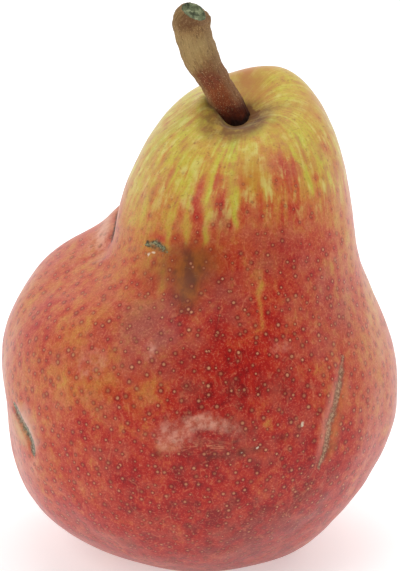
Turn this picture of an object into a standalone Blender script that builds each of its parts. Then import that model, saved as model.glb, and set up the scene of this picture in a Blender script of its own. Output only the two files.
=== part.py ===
"""A ripe red pear, standing on the flat rim round the hollow in its base.

Three solids: the fruit, its woody stem in a socket in the crown, and the dried calyx in the hollow underneath.
Metres, +Z up. The neck leans to +X and the front faces -Y. The pear stands on z = 0, with the middle of its
bounding box over the origin.
"""

import bmesh
import bpy
import numpy as np
from mathutils import Vector

# Gap between the fruit and what is set into it
GAP = 0.0003

# Points round the skin, and sections along it
SKIN_AROUND = 80
SKIN_ALONG = 58

# The fruit from the floor of the base hollow up to the floor of the stem cavity:
# height, half width, half depth, and how far the middle lies to the right and to the back
SKIN_SECTIONS = (
    (0.0055, 0.0000, 0.0000, 0.0024, 0.0000),
    (0.0042, 0.0046, 0.0046, 0.0024, 0.0000),
    (0.0004, 0.0086, 0.0086, 0.0024, 0.0000),
    (-0.0004, 0.0124, 0.0120, 0.0022, 0.0000),
    (0.0012, 0.0194, 0.0178, 0.0005, 0.0000),
    (0.0070, 0.0268, 0.0257, -0.0012, 0.0000),
    (0.0170, 0.0337, 0.0330, -0.0008, 0.0000),
    (0.0330, 0.0368, 0.0360, 0.0000, 0.0000),
    (0.0450, 0.0344, 0.0334, -0.0005, -0.0003),
    (0.0520, 0.0300, 0.0300, 0.0010, -0.0006),
    (0.0580, 0.0243, 0.0260, 0.0049, -0.0008),
    (0.0660, 0.0215, 0.0222, 0.0064, -0.0010),
    (0.0760, 0.0185, 0.0190, 0.0074, -0.0008),
    (0.0826, 0.0149, 0.0150, 0.0080, -0.0004),
    (0.0858, 0.0104, 0.0108, 0.0084, 0.0000),
    (0.0863, 0.0068, 0.0070, 0.0076, -0.0002),
    (0.0844, 0.0036, 0.0036, 0.0062, -0.0006),
    (0.0832, 0.0000, 0.0000, 0.0062, -0.0008),
)

# Rise of the crown per metre to the right and to the back, growing between two heights
CROWN_TILT = (0.09, 0.25)
CROWN_TILT_FROM = 0.070
CROWN_TILT_TO = 0.088

# Low ribs round the base, which fade out at a height: count, share of the width, and turn of the first one
BASE_RIBS = 5
BASE_RIB_SHARE = 0.022
BASE_RIB_TURN = 0.5
BASE_RIBS_TO = 0.022

# Swellings and hollows of the skin: middle, reach along each axis, and push
SWELLINGS = (
    # The left shoulder
    ((-0.0210, 0.0060, 0.0560), (0.0120, 0.0090, 0.0070), (-0.0030, 0.0008, 0.0010)),
    # The back of the crown
    ((0.0125, 0.0065, 0.0890), (0.0075, 0.0065, 0.0060), (0.0002, 0.0006, 0.0018)),
    # The crown is lower in front of the stem
    ((0.0065, -0.0060, 0.0850), (0.0070, 0.0055, 0.0050), (0.0000, 0.0000, -0.0015)),
    # The hollow low on the left
    ((-0.0365, 0.0000, 0.0260), (0.0060, 0.0140, 0.0080), (0.0009, 0.0000, 0.0000)),
    # A lump on the back, right of the middle
    ((0.0170, 0.0270, 0.0440), (0.0130, 0.0120, 0.0130), (0.0006, 0.0011, 0.0003)),
    # A shallow valley down the back
    ((-0.0080, 0.0340, 0.0360), (0.0070, 0.0100, 0.0200), (0.0000, -0.0011, 0.0000)),
)

# The fold where the neck meets the left shoulder, from top to bottom
FOLD_PATH = (
    (-0.0120, 0.0105, 0.0690),
    (-0.0146, 0.0046, 0.0660),
    (-0.0155, -0.0008, 0.0630),
    (-0.0163, -0.0038, 0.0606),
    (-0.0171, -0.0068, 0.0572),
)
FOLD_HALF_WIDTH = 0.0030
FOLD_DEPTH = 0.0017
FOLD_FLOOR = 1.5

# The stem from its root in the flesh up to its cut end: middle and half width
STEM_AROUND = 28
STEM_ALONG = 32
STEM_SECTIONS = (
    (0.0078, -0.0004, 0.0778, 0.0026),
    (0.0063, -0.0006, 0.0830, 0.0030),
    (0.0050, -0.0007, 0.0862, 0.0029),
    (0.0036, -0.0008, 0.0890, 0.0027),
    (0.0021, -0.0010, 0.0918, 0.0027),
    (0.0004, -0.0010, 0.0948, 0.0031),
    (-0.0006, -0.0012, 0.0980, 0.0032),
    (-0.0012, -0.0013, 0.1004, 0.0032),
    (-0.0013, -0.0014, 0.1018, 0.0033),
    (-0.0013, -0.0015, 0.1029, 0.0031),
    (-0.0010, -0.0016, 0.1037, 0.0024),
)

# The stem isn't round: share of its half width, lobes round it, and where they start
STEM_LOBES = ((0.05, 2, 0.6), (0.04, 3, 2.0))

# The stem's cut end rises to the right and to the back by these shares of its width, and is dished
STEM_CUT_TILT = (0.08, 0.24)
STEM_CUT_SECTIONS = 6
STEM_CUT_RIM = 0.75
STEM_CUT_DISH = 0.0005

# The calyx: a tube rooted in the flesh, which opens into five dried sepals
CALYX_MIDDLE = (0.0024, 0.0000)
CALYX_AROUND = 50
CALYX_ALONG = 7
CALYX_ROOT = 0.0086
CALYX_THROAT = 0.0048
CALYX_HALF_WIDTH = 0.0017
CALYX_WALL = 0.0008
SEPALS = 5
SEPAL_LENGTH = 0.0038
SEPAL_NOTCH_LENGTH = 0.0009
SEPAL_FLARE = 1.15
SEPAL_POINT = 1.5
CALYX_SOCKET_AROUND = 40

# Colour and roughness of each piece
FRUIT_LOOK = ((0.45, 0.06, 0.035), 0.38)
STEM_LOOK = ((0.20, 0.11, 0.045), 0.75)
CALYX_LOOK = ((0.045, 0.028, 0.018), 0.85)

# Edges that bend by more than this angle are drawn sharp, and no length is taken as less than the tiny one
SHARP_BEND = 0.9
TINY = 1e-12


def clear_scene():
    for thing in list(bpy.data.objects):
        bpy.data.objects.remove(thing, do_unlink=True)


def bends(knots, values):
    """Second derivative at each knot of the natural cubic spline: none at its ends, smooth slopes in between."""
    gaps = np.diff(knots)
    slopes = np.diff(values, axis=0) / gaps[:, None]
    system = np.eye(len(knots))
    right_side = np.zeros_like(values)
    inner = np.arange(1, len(knots) - 1)
    system[inner, inner - 1] = gaps[:-1]
    system[inner, inner] = 2 * (gaps[:-1] + gaps[1:])
    system[inner, inner + 1] = gaps[1:]
    right_side[inner] = 6 * (slopes[1:] - slopes[:-1])
    return np.linalg.solve(system, right_side)


def spline(knots, values, at):
    """Values of the natural cubic spline at the given places, one row each."""
    bend = bends(knots, values)
    left = np.clip(np.searchsorted(knots, at, side="right") - 1, 0, len(knots) - 2)
    gap = (knots[left + 1] - knots[left])[:, None]
    past = (at - knots[left])[:, None]
    ahead = gap - past
    cubic = (bend[left] * ahead**3 + bend[left + 1] * past**3) / (6 * gap)
    from_left = (values[left] / gap - bend[left] * gap / 6) * ahead
    from_right = (values[left + 1] / gap - bend[left + 1] * gap / 6) * past
    return cubic + from_left + from_right


def ease(share):
    """A smooth step: 0 up to 0, 1 from 1 on."""
    share = np.clip(share, 0.0, 1.0)
    return share * share * (3.0 - 2.0 * share)


def skin_sections():
    """Sections evenly spaced along the profile. One more is mirrored past each end, which keeps the floors of
    both hollows level in the middle."""
    table = np.array(SKIN_SECTIONS)
    mirror = np.array((1.0, -1.0, -1.0, 1.0, 1.0))
    table = np.vstack([table[1] * mirror, table, table[-2] * mirror])
    steps = np.hypot(np.diff(table[:, 0]), np.diff(table[:, 1]))
    knots = np.concatenate([[0.0], np.cumsum(steps)])
    return spline(knots, table, np.linspace(knots[1], knots[-2], SKIN_ALONG))


def swell(points, middle, reach, push):
    """The push at each point: whole at the middle, and fading as a bell curve over the reach."""
    away = (points - np.array(middle)) / np.array(reach)
    weight = np.exp(-np.sum(away**2, axis=-1))
    return weight[..., None] * np.array(push)


def outward(points):
    """Unit normals of the skin: the cross product of its steps round and along."""
    around = np.roll(points, -1, axis=1) - np.roll(points, 1, axis=1)
    along = np.gradient(points, axis=0)
    normals = np.cross(around, along)
    lengths = np.linalg.norm(normals, axis=-1, keepdims=True)
    return normals / np.maximum(lengths, TINY)


def distance_to_path(points, path):
    """Distance of each point from the line through the path, and how far along the line it lies, 0 to 1."""
    path = np.array(path)
    nearest = np.full(points.shape[:-1], np.inf)
    place = np.zeros(points.shape[:-1])
    stretches = len(path) - 1
    for number in range(stretches):
        start = path[number]
        step = path[number + 1] - start
        share = np.clip((points - start) @ step / (step @ step), 0.0, 1.0)
        distance = np.linalg.norm(points - start - share[..., None] * step, axis=-1)
        closer = distance < nearest
        nearest = np.where(closer, distance, nearest)
        place = np.where(closer, (number + share) / stretches, place)
    return nearest, place


def skin_points():
    """The skin as rings of points, base hollow first: ellipses on a leaning course of middles, ribbed near the
    base, then the tilt of the crown, the swellings and the fold. What would hang below the ground is pressed
    flat on it."""
    height, half_width, half_depth, middle_x, middle_y = skin_sections().T[:, :, None]
    bearing = np.linspace(0.0, 2 * np.pi, SKIN_AROUND, endpoint=False)
    ribs = np.cos(BASE_RIBS * bearing + BASE_RIB_TURN) * (1.0 - ease(height / BASE_RIBS_TO))
    right = half_width * np.sin(bearing) * (1.0 + BASE_RIB_SHARE * ribs)
    back = -half_depth * np.cos(bearing) * (1.0 + BASE_RIB_SHARE * ribs)
    crown = ease((height - CROWN_TILT_FROM) / (CROWN_TILT_TO - CROWN_TILT_FROM))
    up = height + crown * (CROWN_TILT[0] * right + CROWN_TILT[1] * back)
    points = np.stack([right + middle_x, back + middle_y, up], axis=-1)
    points = points + sum(swell(points, *place) for place in SWELLINGS)
    distance, place = distance_to_path(points, FOLD_PATH)
    fading = np.sqrt(4 * place * (1 - place))
    fold = FOLD_DEPTH * fading * np.exp(-((distance / FOLD_HALF_WIDTH) ** FOLD_FLOOR))
    points = points - fold[..., None] * outward(points)
    points[..., 2] = np.maximum(points[..., 2], 0.0)
    return points


def stem_sections():
    """Middles and half widths evenly spaced along the stem."""
    table = np.array(STEM_SECTIONS)
    steps = np.linalg.norm(np.diff(table[:, :3], axis=0), axis=1)
    knots = np.concatenate([[0.0], np.cumsum(steps)])
    sections = spline(knots, table, np.linspace(0.0, knots[-1], STEM_ALONG))
    return sections[:, :3], sections[:, 3]


def stem_rings(margin):
    """The stem as rings of points from the root up, wider by the margin. Each ring is lobed and stands square to
    the stem's course, and the last ones turn to the tilt of the cut."""
    middles, half_widths = stem_sections()
    course = np.gradient(middles, axis=0)
    course /= np.linalg.norm(course, axis=1, keepdims=True)
    across = np.cross((0.0, 1.0, 0.0), course)
    across /= np.linalg.norm(across, axis=1, keepdims=True)
    back = np.cross(course, across)
    angle = np.linspace(0.0, 2 * np.pi, STEM_AROUND, endpoint=False)
    lobes = 1.0 + sum(share * np.cos(count * angle + start) for share, count, start in STEM_LOBES)
    reach = half_widths[:, None] * lobes + margin
    side = reach[..., None] * (np.cos(angle)[:, None] * across[:, None] + np.sin(angle)[:, None] * back[:, None])
    near_cut = ease(1.0 - (STEM_ALONG - 1 - np.arange(STEM_ALONG)) / STEM_CUT_SECTIONS)[:, None]
    rings = middles[:, None] + side
    rings[..., 2] += near_cut * (STEM_CUT_TILT[0] * side[..., 0] + STEM_CUT_TILT[1] * side[..., 1])
    return rings, middles, course


def calyx_rings():
    """The calyx as rings of points: from the root down the outside, round the ends of the sepals and back up
    the inside to the throat. A sepal bends outward evenly, and a cosine round the tube sets how long it is."""
    bearing = np.linspace(0.0, 2 * np.pi, CALYX_AROUND, endpoint=False)
    lobe = (0.5 + 0.5 * np.cos(SEPALS * bearing)) ** SEPAL_POINT
    length = SEPAL_NOTCH_LENGTH + (SEPAL_LENGTH - SEPAL_NOTCH_LENGTH) * lobe
    flare = np.linspace(0.0, SEPAL_FLARE, CALYX_ALONG)[:, None]
    outside = CALYX_HALF_WIDTH + length * (1.0 - np.cos(flare)) / SEPAL_FLARE
    outside_height = CALYX_THROAT - length * np.sin(flare) / SEPAL_FLARE
    inside = outside - CALYX_WALL * np.cos(flare)
    inside_height = outside_height - CALYX_WALL * np.sin(flare)
    root = np.full(CALYX_AROUND, CALYX_HALF_WIDTH)
    root_height = np.full(CALYX_AROUND, CALYX_ROOT)
    radius = np.vstack([root, outside, inside[::-1]])
    height = np.vstack([root_height, outside_height, inside_height[::-1]])
    right = CALYX_MIDDLE[0] + radius * np.sin(bearing)
    back = CALYX_MIDDLE[1] - radius * np.cos(bearing)
    return np.stack([right, back, height], axis=-1)


def loft(name, rings, start, end, origin):
    """An object whose closed skin runs through the rings, with a point at each end. Its origin is as given."""
    shape = bmesh.new()
    loops = [[shape.verts.new(point) for point in ring] for ring in rings - np.array(origin)]
    for lower, upper in zip(loops, loops[1:]):
        for i in range(len(lower)):
            shape.faces.new((lower[i - 1], lower[i], upper[i], upper[i - 1]))
    for loop, tip in ((loops[0], start), (loops[-1], end)):
        cap = shape.faces.new(loop)
        middle = bmesh.ops.poke(shape, faces=[cap])["verts"][0]
        middle.co = Vector(tip) - Vector(origin)
    bmesh.ops.recalc_face_normals(shape, faces=shape.faces)
    mesh = bpy.data.meshes.new(name)
    shape.to_mesh(mesh)
    shape.free()
    mesh.shade_smooth()
    made = bpy.data.objects.new(name, mesh)
    made.location = origin
    bpy.context.scene.collection.objects.link(made)
    return made


def paint(thing, colour, roughness):
    """A material of the thing's own."""
    made = bpy.data.materials.new(thing.name)
    made.use_nodes = True
    shader = made.node_tree.nodes["Principled BSDF"]
    shader.inputs["Base Color"].default_value = (*colour, 1.0)
    shader.inputs["Roughness"].default_value = roughness
    shader.inputs["Metallic"].default_value = 0.0
    thing.data.materials.append(made)


def cut(body, cutter):
    """Takes the cutter's shape out of the body, and leaves the cutter as a hidden guide."""
    modifier = body.modifiers.new(cutter.name, "BOOLEAN")
    modifier.operation = "DIFFERENCE"
    modifier.object = cutter
    cutter.hide_render = True
    cutter.display_type = "WIRE"


def make_body(skin):
    body = loft("body", skin[1:-1], skin[0, 0], skin[-1, 0], (0.0, 0.0, 0.0))
    paint(body, *FRUIT_LOOK)
    return body


def make_stem(name, margin):
    """The stem, or with a margin the cutter of its socket. Its origin is where it leaves the flesh."""
    rings, middles, course = stem_rings(margin)
    root = middles[0] - margin * course[0]
    rings[0] -= margin * course[0]
    down_the_dish = STEM_CUT_DISH * course[-1]
    dish = middles[-1] + STEM_CUT_RIM * (rings[-1] - middles[-1]) - down_the_dish
    rings = np.concatenate([rings, dish[None]])
    stem = loft(name, rings, root, middles[-1] - down_the_dish, STEM_SECTIONS[1][:3])
    stem.data.set_sharp_from_angle(angle=SHARP_BEND)
    return stem


def make_calyx():
    rings = calyx_rings()
    root = (*CALYX_MIDDLE, CALYX_ROOT)
    throat = (*CALYX_MIDDLE, CALYX_THROAT)
    calyx = loft("calyx", rings, root, throat, throat)
    calyx.data.set_sharp_from_angle(angle=SHARP_BEND)
    paint(calyx, *CALYX_LOOK)
    return calyx


def make_calyx_socket():
    """Cutter for the hole that the calyx is rooted in: a cylinder that starts in the open hollow."""
    shape = bmesh.new()
    length = CALYX_ROOT - CALYX_THROAT + 2 * GAP
    width = CALYX_HALF_WIDTH + GAP
    around = CALYX_SOCKET_AROUND
    bmesh.ops.create_cone(shape, cap_ends=True, segments=around, radius1=width, radius2=width, depth=length)
    mesh = bpy.data.meshes.new("calyx_socket")
    shape.to_mesh(mesh)
    shape.free()
    cutter = bpy.data.objects.new("calyx_socket", mesh)
    cutter.location = (*CALYX_MIDDLE, 0.5 * (CALYX_ROOT + CALYX_THROAT))
    bpy.context.scene.collection.objects.link(cutter)
    return cutter


def main():
    clear_scene()
    skin = skin_points()
    pear = bpy.data.objects.new("pear", None)
    bpy.context.scene.collection.objects.link(pear)
    body = make_body(skin)
    stem = make_stem("stem", 0.0)
    paint(stem, *STEM_LOOK)
    calyx = make_calyx()
    stem_socket = make_stem("stem_socket", GAP)
    calyx_socket = make_calyx_socket()
    cut(body, stem_socket)
    cut(body, calyx_socket)
    for thing in (body, stem, calyx, stem_socket, calyx_socket):
        thing.parent = pear
    corners = skin.reshape(-1, 3)
    middle = (corners.min(axis=0) + corners.max(axis=0)) / 2
    pear.location = (-middle[0], -middle[1], 0.0)


main()
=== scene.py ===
"""The looks of a ripe red pear: its skin with blush, streaks, spots and scars, its woody stem, and the
dried calyx underneath.

Shapes are worked out in millimetres in the frame's directions: +Z up, the front towards -Y, the neck
leaning to +X. Each is a grid of points, worked out as whole arrays and scaled to metres when it becomes a
mesh.
"""

import bpy
import numpy as np
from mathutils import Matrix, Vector


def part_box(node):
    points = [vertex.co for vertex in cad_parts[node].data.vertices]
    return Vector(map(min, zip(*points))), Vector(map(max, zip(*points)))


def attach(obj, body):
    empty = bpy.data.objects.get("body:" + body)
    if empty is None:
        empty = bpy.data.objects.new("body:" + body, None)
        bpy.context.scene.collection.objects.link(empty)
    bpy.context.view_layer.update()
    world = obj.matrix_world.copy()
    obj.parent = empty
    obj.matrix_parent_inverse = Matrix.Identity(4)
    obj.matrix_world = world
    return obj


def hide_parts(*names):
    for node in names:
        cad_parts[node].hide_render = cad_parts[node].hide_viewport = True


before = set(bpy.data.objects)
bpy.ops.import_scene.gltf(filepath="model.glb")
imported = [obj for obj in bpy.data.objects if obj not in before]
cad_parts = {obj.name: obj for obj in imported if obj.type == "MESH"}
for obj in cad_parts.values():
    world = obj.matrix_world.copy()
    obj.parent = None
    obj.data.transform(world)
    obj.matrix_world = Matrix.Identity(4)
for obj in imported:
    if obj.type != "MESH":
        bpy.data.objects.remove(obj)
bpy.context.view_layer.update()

# One millimetre in metres
MM = 0.001

# Points round the skin and along it. Round it they crowd together on one side, by a share.
SKIN_AROUND = 400
SKIN_ALONG = 246
CROWDED_BEARING = -0.6
CROWDING = 0.32

# The fruit from the floor of the base hollow up to the floor of the stem cavity:
# height, half width, half depth, and how far the middle lies to the right and to the back
SKIN_SECTIONS = (
    (5.5, 0, 0, 2.4, 0),
    (4.2, 4.6, 4.6, 2.4, 0),
    (0.4, 8.6, 8.6, 2.4, 0),
    (-0.4, 12.4, 12, 2.2, 0),
    (1.2, 19.4, 17.8, 0.5, 0),
    (7, 26.8, 25.7, -1.2, 0),
    (17, 33.7, 33, -0.8, 0),
    (33, 36.8, 36, 0, 0),
    (45, 34.4, 33.4, -0.5, -0.3),
    (52, 30, 30, 1, -0.6),
    (58, 24.3, 26, 4.9, -0.8),
    (66, 21.5, 22.2, 6.4, -1),
    (76, 18.5, 19, 7.4, -0.8),
    (82.6, 14.9, 15, 8, -0.4),
    (85.8, 10.4, 10.8, 8.4, 0),
    (86.3, 6.8, 7, 7.6, -0.2),
    (84.4, 3.6, 3.6, 6.2, -0.6),
    (83.2, 0, 0, 6.2, -0.8),
)
CROWN_TILT = (0.09, 0.25)
CROWN_TILT_HEIGHTS = (70, 88)
BASE_RIBS = 5
BASE_RIB_SHARE = 0.022
BASE_RIB_TURN = 0.5
BASE_RIBS_TO = 22.0

# Swellings and hollows: middle, reach along each axis, and push
SWELLINGS = (
    ((-21, 6, 56), (12, 9, 7), (-3, 0.8, 1)),
    ((12.5, 6.5, 89), (7.5, 6.5, 6), (0.2, 0.6, 1.8)),
    ((6.5, -6, 85), (7, 5.5, 5), (0, 0, -1.5)),
    ((-36.5, 0, 26), (6, 14, 8), (0.9, 0, 0)),
    ((17, 27, 44), (13, 12, 13), (0.6, 1.1, 0.3)),
    ((-8, 34, 36), (7, 10, 20), (0, -1.1, 0)),
    ((5, 2.5, 84), (5, 4, 3), (0, 0, 1.6)),
    ((1, -0.4, 85.4), (2.6, 3.2, 2.8), (0, 0, 1.2)),
    ((3, -2.6, 83.4), (1.7, 2.2, 2.2), (0, 0, 1.6)),
)

# The fold between the neck and the left shoulder, from top to bottom
FOLD_PATH = ((-12, 10.5, 69), (-14.6, 4.6, 66), (-15.5, -0.8, 63), (-16.3, -3.8, 60.6), (-17.1, -6.8, 57.2))
FOLD_HALF_WIDTH = 3.0
FOLD_DEPTH = 1.7
FOLD_FLOOR = 1.5

# Lines in the skin, from top to bottom: the crease in the floor of the fold, the scar low on the left and
# the one on the right, and the scab on the left of the neck
LINE_PATHS = {
    "crease": (
        (-14, 7.6, 66.2), (-14.8, 5, 64.6), (-15.2, 2.3, 63.4), (-15.6, -1.1, 62.3), (-16.3, -4.4, 60.6),
    ),
    "left_scar": (
        (-33.8, -14.2, 33.2), (-33.2, -15.4, 31.7), (-32.5, -16.9, 30.4), (-31.4, -18.6, 29.1),
        (-30.7, -19.6, 27.6), (-30.1, -20, 25.4),
    ),
    "right_scar": (
        (25.8, -21.6, 45.2), (25, -24.4, 40.9), (24.2, -26.3, 37.5), (23.2, -27.7, 34.4), (22.8, -28.2, 31),
        (22.1, -28.5, 28.4), (21.2, -28.7, 26.4),
    ),
    "scab": ((-9.6, -16.7, 64.6), (-8.3, -17.8, 65.4), (-7.2, -18.6, 65.1), (-5.6, -20.2, 64.3)),
}
CREASE_DEPTH = 0.9
CREASE_WIDTH = 0.45

# The lip on the left of the crease: height, distance from it, and reach
CREASE_LIP = (0.28, -2, 1.5)

# The scars' grooves: half width, depth, and the side of the lip, 1 for right and -1 for left
SCAR_SHAPES = {"left_scar": (1, 0.4, 1), "right_scar": (1, 0.09, -1)}

# Where a scar's floor ends and its wall reaches the skin, and the height, place and reach of its lip. All but
# the height are in half widths of the groove.
SCAR_WALL = (0.6, 1.4)
SCAR_LIP = (0.22, 2.3, 1.1)

# Soft lumps of the skin: height, shortest and longest wave, and seed. They set in up to a height of the skin.
SKIN_LUMPS = ((0.1, 9, 20, 3), (0.035, 3.5, 7, 4))
SKIN_LUMPS_BY = 5.0

# Wrinkles of the crown: height, how many coarse and fine ones there are, how far from the stem they are
# tallest and over what reach, and the heights between which they set in
CROWN_WRINKLE_HEIGHT = 0.012
CROWN_WRINKLE_COUNTS = (21, 34)
CROWN_WRINKLE_RING = (5.2, 2.6)
CROWN_WRINKLE_HEIGHTS = (78, 83)

# Spots of the skin: how far apart and how wide at each height, the range of their sizes, and how far each
# is shifted and how far apart the rows are, as shares of the spacing. They start and stop this far from the
# skin's ends. One seed is for their places and one for their sizes. The search for the nearest one reaches
# this many rings, and what has none counts as far off.
SPOT_SPACING = ((0, 1.8), (20, 2.1), (40, 2.5), (62, 2.6), (74, 3.8), (84, 6.5))
SPOT_RADIUS = ((0, 0.18), (25, 0.21), (45, 0.23), (62, 0.2), (80, 0.15))
SPOT_SIZES = (0.7, 1.3)
SPOT_JITTER = 0.42
SPOT_ROW_GAP = 0.88
SPOTS_FROM_START = 14.0
SPOTS_FROM_END = 8.0
SPOT_SEEDS = (11, 12)
SPOT_SEARCH = 18
FAR = 99.0

# Rims of two bruises in the middle of the front, from right to left. Each bruise lies below its rim, where
# the skin rises by the height over the rise and sinks back over the fade.
BRUISE_RIMS = (
    ((8.4, -34.8, 35), (6.6, -35, 36.6), (4.4, -35.1, 38.1), (2.2, -35.1, 39.2), (0, -35.3, 39.2),
     (-1.8, -35.5, 38), (-2.6, -35.6, 35.8)),
    ((-3, -35.6, 37.2), (-4.8, -35.3, 38.8), (-7, -35.1, 37.4), (-8.3, -35, 34.8), (-7.8, -35.2, 32.8)),
)
BRUISE_HEIGHT = 0.32
BRUISE_RISE = 1.8
BRUISE_FADE = 4.5

# Pits in the skin: place, radius, and height, which is negative
PITS = (
    ((2.6, -35.9, 31.4), 1, -0.2),
    ((7, -35.3, 33.4), 0.8, -0.25),
    ((10, -34.6, 32.5), 1.2, -0.25),
    ((14.3, -33, 34), 0.8, -0.22),
    ((16.3, -32.2, 33.1), 0.7, -0.2),
    ((-7, -35.4, 31.9), 0.7, -0.18),
    ((-8, -18, 65), 1.3, -0.2),
)

# How strongly fine streaks show: at least, and how much more round a height and over a reach on the neck
STREAKY = (0.05, 0.17, 76, 9)

# How strongly the skin is mottled: at least, and how much more, which sets in between two values of redness
MOTTLED = (0.48, 0.84, 0.4, 0.85)

# How much calmer the crown is, which sets in between two heights
CALM = (0.4, 66, 76)

# How red the skin is at each height, from 0, yellow-green, to 1, crimson
BLUSH_BY_HEIGHT = (
    (0, 0.62), (8, 0.66), (20, 0.64), (38, 0.62), (50, 0.6), (58, 0.6), (65, 0.55), (71, 0.45),
    (77, 0.31), (82, 0.21), (91, 0.19),
)

# Patches of more or less red: middle, reach along each axis, and change
BLUSH_PATCHES = (
    # Deep red over the middle of the belly, fading downwards and up to the waist
    ((6, -35, 43), (15, 20, 9), 0.19),
    ((4, -30, 20), (24, 20, 16), 0.21),
    ((24, -26, 20), (10, 12, 12), 0.11),
    ((6, -24, 58), (12, 14, 8), 0.12),
    # Crimson under the bruises, and a dark red strip below the smudge
    ((3, -35.5, 34), (5.5, 5, 3.2), 0.12),
    ((-3.2, -25.5, 58.5), (1.8, 5, 6.5), 0.34),
    # Orange over the left shoulder, down the left side and over the right side
    ((-26, -16, 52), (12, 16, 9), -0.1),
    ((-37, -8, 34), (9, 20, 22), -0.12),
    ((-22, -27, 38), (9, 12, 12), -0.1),
    ((33, -14, 44), (8, 20, 22), -0.15),
    # Redder and yellower places over the belly and the waist
    ((-27, -14, 51), (5, 6, 4.5), 0.15),
    ((-12, -24, 55), (6, 7, 3.5), -0.06),
    ((-15.5, -30, 44.5), (3.5, 5, 3.5), -0.11),
    ((-9, -31.5, 45), (2.5, 4, 2.5), -0.11),
    ((-19.5, -29.6, 41.4), (4, 5, 2.6), -0.08),
    ((-21.4, -28.8, 36.2), (3.5, 4.5, 2.4), 0.12),
    ((-8.7, -33.5, 42.4), (3.5, 4, 3), -0.1),
    ((-28.5, -17.5, 46.5), (4, 6, 4), 0.07),
    ((-20, -3, 59), (5, 6, 3.5), -0.09),
    ((-15.2, -15.1, 58.3), (4.5, 5, 3.5), -0.08),
    ((-8.8, -24.6, 56.1), (3, 4, 3), -0.09),
    ((-30.6, -19, 28), (3, 5, 6), -0.07),
    ((-25, -25, 22), (5, 6, 5), -0.1),
    ((15.4, -32.3, 28.6), (4, 5, 5), 0.13),
    ((10, -30, 14.5), (7, 7, 4), 0.12),
    ((12, -25, 9), (9, 9, 4), 0.1),
    ((-14, -26, 9.5), (9, 9, 4), 0.05),
    ((28, -14, 15), (4, 6, 4), -0.06),
    ((31, -3, 50.5), (4, 5, 4), -0.15),
    ((27.3, -8.4, 61.7), (3, 5, 4), -0.08),
    ((5.5, -34.8, 39.5), (4, 4, 3), 0.05),
    ((-1.7, -33.5, 45.5), (4.5, 4, 2.5), 0.05),
    ((-4, -31.5, 49.3), (3, 4, 2.5), -0.05),
    ((16.8, -18.5, 71.3), (3.2, 4, 4), 0.17),
    ((1.9, -20.7, 71.6), (3, 4, 3), 0.07),
    ((8.9, -21.2, 71.4), (3, 4, 3), 0.07),
    ((12.6, -14.1, 80.6), (2.6, 3, 2.2), 0.14),
    ((18.5, -19.5, 65.5), (3.5, 4, 4), 0.06),
    ((9, -20, 73.5), (1.8, 4, 2.6), 0.12),
    # A crimson patch right of the crown
    ((15.4, -15.6, 78.1), (2.8, 3.2, 2.8), 0.38),
    # Olive left side of the neck, and yellow right of the crown
    ((-12, -8, 72), (7, 10, 9), -0.1),
    ((-9.5, -15, 65.5), (5.5, 8, 6.5), -0.15),
    ((20, -6, 84), (6, 8, 5), 0.04),
    # Yellower back
    ((0, 34, 52), (26, 20, 26), -0.12),
)

# Streaks of the neck: bearing in degrees round its middle at the lower and at the upper end, half width,
# lowest and highest height, the redness inside, and how strongly it shows. Their edges waver by lumps in
# degrees, and are as sharp as the power says. They narrow to the tip's share at the lower end, fade over the
# lengths at both ends, and are all weakened by the strength.
NECK_MIDDLE = (6.8, -0.9)
NECK_RADIUS = 20.0
STREAK_WAVER = ((0.9, 2.5, 7, 5),)
STREAK_EDGE = 2.1
STREAK_TIP = 0.4
STREAK_ENDS = (1.5, 2.5)
STREAK_STRENGTH = 0.84
STREAKS = (
    (-0.2, -6, 1.4, 69, 84, 0.06, 0.95),
    (-14.4, -19, 1.2, 66, 84, 0.1, 0.9),
    (-31, -36.5, 2.5, 72.5, 81.5, 0.12, 0.85),
    (-33.6, -36.5, 1.1, 64.5, 74.5, 0.2, 0.8),
    (-24.5, -26.5, 1, 65, 77, 0.14, 0.9),
    (-28.6, -35.4, 1.1, 55, 66, 0.3, 0.75),
    (-59, -78, 1.1, 69, 80.5, 0.16, 0.7),
    (-50.8, -60, 0.7, 65, 77.5, 0.22, 0.65),
    (-72, -97, 1.2, 68.5, 79, 0.18, 0.6),
    (43.7, 39, 0.55, 72.5, 84, 0.1, 0.85),
    (62, 53, 0.6, 71, 83, 0.12, 0.85),
    (16.2, 12.3, 0.8, 73.5, 82, 0.2, 0.7),
    (50, 55, 1.8, 80.5, 85.5, 0.02, 0.8),
    (8.5, 9.2, 1.6, 75, 81.5, 0.3, 0.85),
    (17, 17, 0.4, 57, 62, 0.38, 0.6),
    (8.8, 8.2, 0.6, 52, 63.5, 0.3, 0.9),
    (-2.6, -2.6, 0.5, 58, 65, 0.38, 0.7),
    (48, 49, 0.6, 53, 62.5, 0.3, 0.8),
    (66, 66, 0.8, 56, 65, 0.3, 0.7),
    (6, 6, 0.7, 71, 77, 0.52, 0.5),
    (-16, -24.5, 1.1, 64, 78, 0.64, 0.66),
    (-9.8, -11, 0.8, 72, 79.6, 0.62, 0.75),
    (2.9, 2.7, 1, 74, 79.6, 0.54, 0.75),
    (-51.9, -64, 0.8, 74.5, 82, 0.56, 0.65),
    (-45.5, -47.5, 0.8, 75.5, 80, 0.52, 0.6),
    (-33, -34.3, 0.6, 75.5, 79.5, 0.5, 0.55),
    (-28.9, -32.4, 0.9, 69, 74, 0.56, 0.6),
    (-43.3, -50.6, 1.9, 69, 77, 0.52, 0.5),
    (48.4, 49.2, 0.6, 75, 78, 0.62, 0.7),
    (47, 45.5, 0.6, 72, 83, 0.46, 0.6),
    (68.6, 68, 1.7, 73, 83.5, 0.46, 0.65),
    (24, 21, 1.6, 70, 83.5, 0.42, 0.5),
)

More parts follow.
